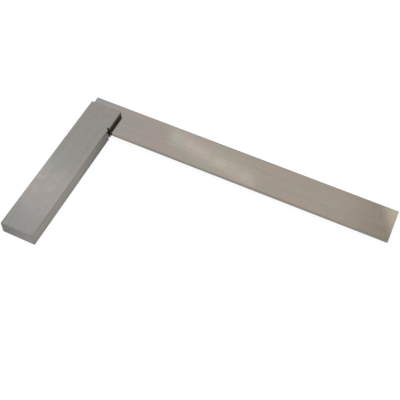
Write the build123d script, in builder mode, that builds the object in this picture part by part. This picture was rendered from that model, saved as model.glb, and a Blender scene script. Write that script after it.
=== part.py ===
from build123d import *
from math import cos, radians
import os

# A fixed engineer's square: a plain steel blade held at 90 degrees in the slotted end of a thick
# rectangular stock by cross pins that are ground flush with the stock's sides.
#
# The square lies on one side of its stock. +X runs along the blade to its tip, -Y along the stock
# to its free end, and +Z up through the thickness. The origin is the middle of the outline's
# bounding box, on the plane that the stock rests on.

# ---------------------------------------------------------------- driving dimensions, millimetres
blade_reach = 300.0  # blade beyond the stock's inner face: the nominal size of the square
blade_width = 38.0
blade_thickness = 3.2
blade_overhang = 11.5  # blade beyond the stock's slotted end

stock_reach = 145.0  # stock below the blade's inner edge
stock_width = 35.0
stock_thickness = 14.5

relief_width = 1.6  # slit that clears burrs at the inner corner
relief_depth = 3.0  # along the slit, from the middle of its mouth
relief_slant = 40.0  # degrees, from square to the inner face towards the slotted end

pin_diameter = 5.0
pin_count = 3
pin_wall = 4.0  # metal between a pin hole and the nearest edge of the lap

slot_gap = 0.02  # between the blade and each wall of its slot, and the slot's floor
pin_gap = 0.01  # radial, between a pin and its hole

stock_arris = 0.35  # chamfer that breaks the stock's outer edges
blade_arris = 0.15  # chamfer that breaks the blade's long edges and its heel
tip_arris = 0.5  # chamfer around the blade's tip
pin_arris = 0.1  # chamfer on the ends of a pin

# ---------------------------------------------------------------------------- what follows from them
lap = blade_width - blade_overhang  # how much of the blade's width the slot holds
stock_length = stock_reach + lap
overall_length = stock_width + blade_reach
overall_depth = stock_length + blade_overhang

outer_x = -overall_length / 2  # the stock's outer face, with the blade's heel flush in it
inner_x = outer_x + stock_width
stock_x = (outer_x + inner_x) / 2

free_end_y = -overall_depth / 2
blade_outer_y = overall_depth / 2
blade_inner_y = blade_outer_y - blade_width
slotted_end_y = blade_outer_y - blade_overhang

relief_mouth = relief_width / cos(radians(relief_slant))

blade_z = (stock_thickness - blade_thickness) / 2  # underside of the blade, centred in the stock

pin_radius = pin_diameter / 2
pin_circle = min(stock_width, lap) / 2 - pin_wall - pin_radius
pin_pattern = Plane((stock_x, (slotted_end_y + blade_inner_y) / 2, 0))

overcut = 2 * stock_arris  # how far a cutting outline runs past the faces that it opens


def write(builder, name):
    """Label a finished sub-part and write it as its own STEP file."""
    builder.part.label = name
    export_step(builder.part, f"parts/{name}.step")


os.makedirs("parts", exist_ok=True)

# ------------------------------------------------------------------------------------------- stock
with BuildPart() as stock:
    with BuildSketch():
        with Locations((stock_x, (free_end_y + slotted_end_y) / 2)):
            Rectangle(stock_width, stock_length)
    extrude(amount=stock_thickness)
    chamfer(stock.edges(), length=stock_arris)

    # The slot runs right across the stock and is open at its end, so that the blade slides in.
    with BuildSketch(Plane.XY.offset(blade_z - slot_gap)):
        with Locations((stock_x, blade_inner_y - slot_gap)):
            Rectangle(stock_width + 2 * overcut, lap + slot_gap + overcut, align=(Align.CENTER, Align.MIN))
    extrude(amount=blade_thickness + 2 * slot_gap, mode=Mode.SUBTRACT)

    # The relief slit has a round bottom, and its mouth ends in line with the blade's inner edge.
    with BuildSketch():
        with Locations((inner_x, blade_inner_y - relief_mouth / 2)):
            SlotOverall(2 * relief_depth, relief_width, rotation=180 - relief_slant)
    extrude(amount=stock_thickness, mode=Mode.SUBTRACT)

    with Locations(pin_pattern.offset(stock_thickness)):
        with PolarLocations(pin_circle, pin_count):
            Hole(pin_radius + pin_gap)
write(stock, "stock")

# ------------------------------------------------------------------------------------------- blade
with BuildPart() as blade:
    with BuildSketch(Plane.XY.offset(blade_z)):
        with Locations((0, (blade_inner_y + blade_outer_y) / 2)):
            Rectangle(overall_length, blade_width)
    extrude(amount=blade_thickness)
    chamfer(blade.edges().group_by(Axis.X)[-1], length=tip_arris)
    chamfer(blade.edges().filter_by(Axis.X) + blade.edges().group_by(Axis.X)[0], length=blade_arris)

    with Locations(pin_pattern.offset(blade_z + blade_thickness)):
        with PolarLocations(pin_circle, pin_count):
            Hole(pin_radius + pin_gap)
write(blade, "blade")

# -------------------------------------------------------------------------------------------- pins
for number, place in enumerate(PolarLocations(pin_circle, pin_count), start=1):
    with BuildPart() as pin:
        with BuildSketch(Plane(pin_pattern.location * place)):
            Circle(pin_radius)
        extrude(amount=stock_thickness)
        chamfer(pin.edges().filter_by(GeomType.CIRCLE), length=pin_arris)
    write(pin, f"pin_{number}")
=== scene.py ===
import math

import bpy
from mathutils import Matrix, Vector


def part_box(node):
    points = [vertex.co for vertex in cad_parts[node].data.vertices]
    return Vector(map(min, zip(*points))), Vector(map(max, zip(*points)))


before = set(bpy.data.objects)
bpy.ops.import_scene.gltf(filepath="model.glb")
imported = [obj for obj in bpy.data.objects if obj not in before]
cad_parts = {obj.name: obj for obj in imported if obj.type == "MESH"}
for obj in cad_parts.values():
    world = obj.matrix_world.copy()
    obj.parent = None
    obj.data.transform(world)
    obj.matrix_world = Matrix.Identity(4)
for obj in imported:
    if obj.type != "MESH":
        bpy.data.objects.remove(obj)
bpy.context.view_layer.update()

MM = 0.001
ALONG_X, ALONG_Y = 0, 1
scene = bpy.context.scene
stock_low, stock_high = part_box("stock")
blade_low, blade_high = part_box("blade")


# ----------------------------------------------------------------------------------- node helpers
class Nodes:
    """Adds nodes to one node tree. An input may be a number, a tuple or another node's output."""

    def __init__(self, tree):
        self.tree = tree

    def add(self, kind, *inputs, **settings):
        node = self.tree.nodes.new("ShaderNode" + kind)
        for name, value in settings.items():
            setattr(node, name, value)
        for socket, value in zip(node.inputs, inputs):
            self.feed(socket, value)
        return node

    def feed(self, socket, value):
        if isinstance(value, bpy.types.NodeSocket):
            self.tree.links.new(value, socket)
        else:
            socket.default_value = value

    def math(self, operation, *inputs, clamp=False):
        return self.add("Math", *inputs, operation=operation, use_clamp=clamp).outputs[0]

    def vector(self, operation, *inputs):
        return self.add("VectorMath", *inputs, operation=operation).outputs[0]

    def xyz(self, vector):
        return self.add("SeparateXYZ", vector).outputs

    def ramp(self, value, low, high, to_low=0.0, to_high=1.0, smooth=True):
        """Maps low..high to to_low..to_high, held at both ends."""
        kind = "SMOOTHSTEP" if smooth else "LINEAR"
        node = self.add("MapRange", value, low, high, to_low, to_high, interpolation_type=kind)
        return node.outputs[0]

    def mix(self, factor, a, b, kind="RGBA"):
        """Mixes two colours, or two numbers (FLOAT) or vectors (VECTOR)."""
        node = self.add("Mix", data_type=kind)
        in_use = [socket for socket in node.inputs if socket.enabled]
        for socket, value in zip(in_use, (factor, a, b)):
            self.feed(socket, value)
        return next(socket for socket in node.outputs if socket.enabled)

    def noise(self, vector, scale, detail, roughness=0.5):
        node = self.add("TexNoise")
        settings = {"Vector": vector, "Scale": scale, "Detail": detail, "Roughness": roughness}
        for name, value in settings.items():
            self.feed(node.inputs[name], value)
        return node.outputs["Fac"]

    def stretched(self, place, scales, detail, offset):
        """Noise drawn out along one axis: scales are cycles per metre along X, Y and Z."""
        mapping = self.add("Mapping", place, offset, (0, 0, 0), scales)
        return self.noise(mapping.outputs[0], 1.0, detail, roughness=0.6)


def rgb(red, green, blue):
    return (red, green, blue, 1)


def tinted(tone, by):
    """A colour with each of its channels scaled."""
    return rgb(*(channel * scale for channel, scale in zip(tone, by)))


def unit(axis):
    return tuple(float(i == axis) for i in range(3))


# ------------------------------------------------------------------------------------------- steel
# Painted shade: the dark colour laid into hollows and shaded places.
PAINTED_SHADE = rgb(0.045, 0.040, 0.034)
# Painted highlight: the bright colour laid on the tip's broken edges.
PAINTED_HIGHLIGHT = rgb(0.8, 0.78, 0.75)
COOL, WARM, COLD_GREY = (0.97, 1.0, 0.985), (1.035, 0.985, 1.0), (0.94, 1.01, 1.09)


def depths(n, place, node):
    """How deep a point lies in a node's box: its distances to the nearer faces along X, Y and Z."""
    low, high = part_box(node)
    offset = n.vector("ABSOLUTE", n.vector("SUBTRACT", place, tuple((low + high) / 2)))
    return n.xyz(n.vector("SUBTRACT", tuple((high - low) / 2), offset))


def ground_steel(name, node, tone, roughness, grain, anisotropy, shade_amount, edge_highlight=None, grey=None):
    """Satin steel, ground along one axis, and across it on the faces that end the bar.

    The last three arguments take (n, place, normal), (n, place) and (n, place). The first gives
    how far a point is darkened with painted shade. The other two, where given, say how bright its
    broken edges are lit with a painted highlight and how far its tone fades to a cold grey. All run
    from 0 to 1.
    """
    mat = bpy.data.materials.new(name)
    mat.use_nodes = True
    n = Nodes(mat.node_tree)
    shader = mat.node_tree.nodes["Principled BSDF"]
    place = n.add("TexCoord").outputs["Object"]
    normal = n.add("NewGeometry").outputs["True Normal"]
    facing = n.xyz(n.vector("ABSOLUTE", normal))
    across = 1 - grain
    is_end = n.math("GREATER_THAN", facing[grain], 0.9)

    def lines(fine, long, detail, offset):
        """Noise drawn out along the grain, or along the other flat axis on the end faces."""
        sides, ends = [fine] * 3, [fine] * 3
        sides[grain], ends[across] = long, long
        on_sides = n.stretched(place, sides, detail, offset)
        return n.mix(is_end, on_sides, n.stretched(place, ends, detail, offset), "FLOAT")

    hairlines = lines(3200, 25, 3, (0.3, 0.1, 0.7))
    streaks = lines(330, 7, 2, (0.9, 0.4, 0.2))
    clouds = n.noise(place, 28, 2.5)
    smudges = n.noise(place, 75, 3)
    speckle = n.noise(place, 700, 2)

    # The nearest outer edge is as far away as the middle one of the point's three depths.
    depth_x, depth_y, depth_z = depths(n, place, node)
    nearer = n.math("MINIMUM", depth_x, depth_y)
    farther = n.math("MAXIMUM", depth_x, depth_y)
    from_edge = n.math("MAXIMUM", nearer, n.math("MINIMUM", farther, depth_z))
    uneven = n.math("ADD", from_edge, n.ramp(streaks, 0.3, 0.7, -0.5 * MM, 0.5 * MM))
    edge_shade = n.ramp(uneven, 0, 1.6 * MM, 1, 0)

    # The broken edges are the faces that look along no axis.
    flatness = n.math("MAXIMUM", n.math("MAXIMUM", facing[0], facing[1]), facing[2])
    arris = n.ramp(flatness, 0.72, 0.95, 1, 0)

    tint = n.mix(n.ramp(clouds, 0.38, 0.62), tinted(tone, COOL), tinted(tone, WARM))
    if grey:
        tint = n.mix(grey(n, place), tint, tinted(tone, COLD_GREY))
    brushed = n.ramp(hairlines, 0.25, 0.75, -0.035, 0.035)
    level = n.math("ADD", n.ramp(streaks, 0.3, 0.7, 0.975, 1.025), brushed)
    level = n.math("ADD", level, n.ramp(speckle, 0.3, 0.7, -0.03, 0.03))
    # Painted shade: each face is up to 15% darker within about 1.6 mm of its outer edges, and the end
    # faces are 5% darker all over.
    level = n.math("MULTIPLY", level, n.ramp(edge_shade, 0, 1, 1, 0.85, smooth=False))
    level = n.math("MULTIPLY", level, n.ramp(is_end, 0, 1, 1, 0.95, smooth=False))
    shade = n.add("VectorMath", tint, operation="SCALE")
    n.feed(shade.inputs["Scale"], level)
    steel_colour = shade.outputs[0]
    # Painted highlight on the broken edges, where that function is given.
    if edge_highlight:
        steel_colour = n.mix(n.math("MULTIPLY", arris, edge_highlight(n, place)), steel_colour, PAINTED_HIGHLIGHT)

    # Painted shade fills the slot, the relief slit and the pin holes: what lies deeper than the broken
    # edges.
    hollow_shade = n.ramp(n.math("MINIMUM", nearer, depth_z), 0.4 * MM, 0.6 * MM, 0, 0.95)
    painted_dark = n.math("MAXIMUM", hollow_shade, shade_amount(n, place, normal))
    n.feed(shader.inputs["Base Color"], n.mix(painted_dark, steel_colour, PAINTED_SHADE))
    shader.inputs["Metallic"].default_value = 1
    shader.inputs["Specular Tint"].default_value = rgb(0.88, 0.88, 0.88)

    # Handling has made the broken edges smoother than the flats.
    rough = n.ramp(hairlines, 0.25, 0.75, roughness - 0.03, roughness + 0.03)
    rough = n.math("ADD", rough, n.ramp(smudges, 0.35, 0.65, -0.02, 0.025))
    n.feed(shader.inputs["Roughness"], n.math("SUBTRACT", rough, n.math("MULTIPLY", arris, 0.05)))

    # Highlights spread out across the grinding lines.
    shader.inputs["Anisotropic"].default_value = anisotropy
    drawn = n.mix(is_end, unit(grain), unit(across), "VECTOR")
    n.feed(shader.inputs["Tangent"], n.vector("CROSS_PRODUCT", normal, drawn))

    bump = n.add("Bump")
    bump.inputs["Strength"].default_value = 0.35
    bump.inputs["Distance"].default_value = 0.012 * MM
    n.feed(bump.inputs["Height"], hairlines)
    n.feed(shader.inputs["Normal"], bump.outputs[0])
    return mat


def patchy(n, place, amount):
    """Breaks up the edge of a painted shade."""
    blotch = n.ramp(n.noise(place, 420, 3), 0.25, 0.75, 0.75, 1.15, smooth=False)
    return n.math("MULTIPLY", amount, blotch, clamp=True)


def stock_painted_shade(n, place, normal):
    """Painted shade on the inner face and the free end.

    The inner face is darker towards the inner corner, towards its lower edge, and in a line along
    the blade. The free end is darker towards the outer face.
    """
    x, y, z = n.xyz(place)
    facing = n.xyz(normal)
    corner = n.ramp(y, blade_low.y - 65 * MM, blade_low.y, 0, 0.85, smooth=False)
    thinner = n.ramp(z, stock_low.z, stock_high.z, 1.05, 0.8, smooth=False)
    lower_edge = n.ramp(z, stock_low.z, stock_high.z, 0.18, 0)
    corner = n.math("MULTIPLY_ADD", corner, thinner, lower_edge)
    corner = n.math("MULTIPLY", corner, n.math("LESS_THAN", y, blade_low.y))

    # Painted shadow and reflection on the inner face, in a line beside the blade.
    from_middle = n.math("ABSOLUTE", n.math("SUBTRACT", z, (blade_low.z + blade_high.z) / 2))
    from_blade = n.math("SUBTRACT", from_middle, (blade_high.z - blade_low.z) / 2)
    blade_shade_line = n.ramp(from_blade, 0.2 * MM, 4.0 * MM, 0.35, 0.1)
    blade_shade_line = n.math("MULTIPLY", blade_shade_line, n.math("GREATER_THAN", y, blade_low.y))

    on_inner_face = n.math("GREATER_THAN", facing[0], 0.6)
    inner_face = n.math("MULTIPLY", n.math("MAXIMUM", corner, blade_shade_line), on_inner_face)
    on_free_end = n.math("LESS_THAN", facing[1], -0.9)
    free_end = n.math("MULTIPLY", n.ramp(x, stock_low.x, stock_high.x, 0.45, 0), on_free_end)
    return patchy(n, place, n.math("MAXIMUM", inner_face, free_end))


def blade_painted_shadow(n, place, normal):
    """The same painted shade on the blade: a dark line beside the stock's inner face, as long as the
    slot.
    """
    x, y = n.xyz(place)[:2]
    past = n.math("SUBTRACT", x, stock_high.x)
    outside = n.math("GREATER_THAN", past, 0)
    beside = n.math("MULTIPLY", n.ramp(past, 1.4 * MM, 2.8 * MM, 0.75, 0), outside)
    fading = n.ramp(y, stock_high.y - 3 * MM, stock_high.y, 1, 0)
    return patchy(n, place, n.math("MULTIPLY", beside, fading))


def blade_tip_highlight(n, place):
    """A painted highlight on the tip's broken edges."""
    return n.ramp(n.xyz(place)[0], blade_high.x - 3 * MM, blade_high.x - 1 * MM, 0, 1)


def blade_grey(n, place):
    """The steel is greyer by the heel."""
    return n.ramp(n.xyz(place)[0], blade_low.x + 16 * MM, blade_low.x + 26 * MM, 1, 0)


def dress(node, material):
    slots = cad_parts[node].data.materials
    slots.clear()
    slots.append(material)


stock_steel = ground_steel(
    "stock_steel", "stock", tone=(0.233, 0.224, 0.198), roughness=0.27, grain=ALONG_Y, anisotropy=0.5,
    shade_amount=stock_painted_shade,
)
blade_steel = ground_steel(
    "blade_steel", "blade", tone=(0.269, 0.248, 0.214), roughness=0.14, grain=ALONG_X, anisotropy=0.2,
    shade_amount=blade_painted_shadow, edge_highlight=blade_tip_highlight, grey=blade_grey,
)
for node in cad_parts:
    dress(node, blade_steel if node == "blade" else stock_steel)

# ------------------------------------------------------------------------------------------- floor
HALF_FLOOR = 3.0
mesh = bpy.data.meshes.new("floor")
corners = [(x * HALF_FLOOR, y * HALF_FLOOR, 0) for x, y in ((-1, -1), (1, -1), (1, 1), (-1, 1))]
mesh.from_pydata(corners, [], [(0, 1, 2, 3)])
floor = bpy.data.objects.new("floor", mesh)
scene.collection.objects.link(floor)

# White paper, lit from behind, so that the square throws no visible shadow.
paper = bpy.data.materials.new("paper")
paper.use_nodes = True
paper_shader = paper.node_tree.nodes["Principled BSDF"]
paper_shader.inputs["Base Color"].default_value = rgb(0.10, 0.10, 0.10)
paper_shader.inputs["Emission Color"].default_value = rgb(1, 1, 1)
paper_shader.inputs["Emission Strength"].default_value = 0.9
paper_shader.inputs["Roughness"].default_value = 0.9
paper_shader.inputs["Specular IOR Level"].default_value = 0.1
mesh.materials.append(paper)

# -------------------------------------------------------------------------------------- studio light
# The room is cool towards the near left and warm towards the far right. Its left half is brighter.
world = bpy.data.worlds.new("studio")
scene.world = world
world.use_nodes = True
w = Nodes(world.node_tree)
right, beyond = w.xyz(w.add("TexCoord").outputs["Generated"])[:2]
far_right = w.math("MULTIPLY", w.math("ADD", right, beyond), math.sqrt(0.5))
warmth = w.ramp(far_right, -0.05, 0.5, smooth=False)
background = world.node_tree.nodes["Background"]
w.feed(background.inputs["Color"], w.mix(warmth, rgb(0.95, 1.0, 1.12), rgb(1.10, 1.0, 0.92)))
w.feed(background.inputs["Strength"], w.ramp(right, -0.03, 0.035, 1.26, 0.80))


def softbox(name, over, azimuth, elevation, distance, size, power, turn=0.0, tint=(1, 1, 1)):
    """A rectangular lamp that faces the point over (x, y) on the floor.

    Lengths are in millimetres and angles in degrees. Azimuth runs from +Y towards +X.
    """
    a, e = math.radians(azimuth), math.radians(elevation)
    direction = Vector((math.sin(a) * math.cos(e), math.cos(a) * math.cos(e), math.sin(e)))
    data = bpy.data.lights.new(name, "AREA")
    data.shape = "RECTANGLE"
    data.size, data.size_y = (side * MM for side in size)
    data.energy = power
    data.color = tint
    lamp = bpy.data.objects.new(name, data)
    lamp.visible_camera = False
    scene.collection.objects.link(lamp)
    target = Vector((*over, 0)) * MM
    facing = direction.to_track_quat("Z", "Y").to_matrix() @ Matrix.Rotation(math.radians(turn), 3, "Z")
    lamp.matrix_world = Matrix.Translation(target + direction * distance * MM) @ facing.to_4x4()


# One lamp lights the whole, and each of the others makes one highlight: a patch on the stock, a
# slanting streak on the blade and the bright tip.
softbox("key", (0, 0), azimuth=110, elevation=50, distance=1800, size=(1200, 1200), power=15)
softbox("stock_sheen", (-150, -42), azimuth=-43, elevation=53.3, distance=450, size=(70, 70), power=0.020)
softbox(
    "blade_sheen", (-23, 63), azimuth=-19.8, elevation=51.7, distance=250, size=(12, 130), power=0.0035,
    turn=65,
)
softbox(
    "tip_sheen", (172, 74), azimuth=5.0, elevation=53.5, distance=180, size=(26, 64), power=0.0046,
    turn=40, tint=(1, 0.93, 0.84),
)

# -------------------------------------------------------------------------------------------- camera
# It looks down from the front right. Azimuth runs from -Y towards +X, and the angles are degrees.
AIM = Vector((-12.7, 18.1, 8.85)) * MM
DISTANCE = 704.6 * MM
AZIMUTH, ELEVATION, ROLL = (math.radians(angle) for angle in (21.971, 55.091, 3.493))
outward = Vector((math.sin(AZIMUTH), -math.cos(AZIMUTH), 0))
back = outward * math.cos(ELEVATION) + Vector((0, 0, math.sin(ELEVATION)))
camera = bpy.data.objects.new("camera", bpy.data.cameras.new("camera"))
scene.collection.objects.link(camera)
turn = (-back).to_track_quat("-Z", "Y").to_matrix() @ Matrix.Rotation(ROLL, 3, "Z")
camera.matrix_world = Matrix.Translation(AIM + back * DISTANCE) @ turn.to_4x4()
camera.data.lens = 65.16
camera.data.sensor_width = 36
camera.data.clip_start = 0.01
scene.camera = camera
scene.view_settings.view_transform = "Standard"
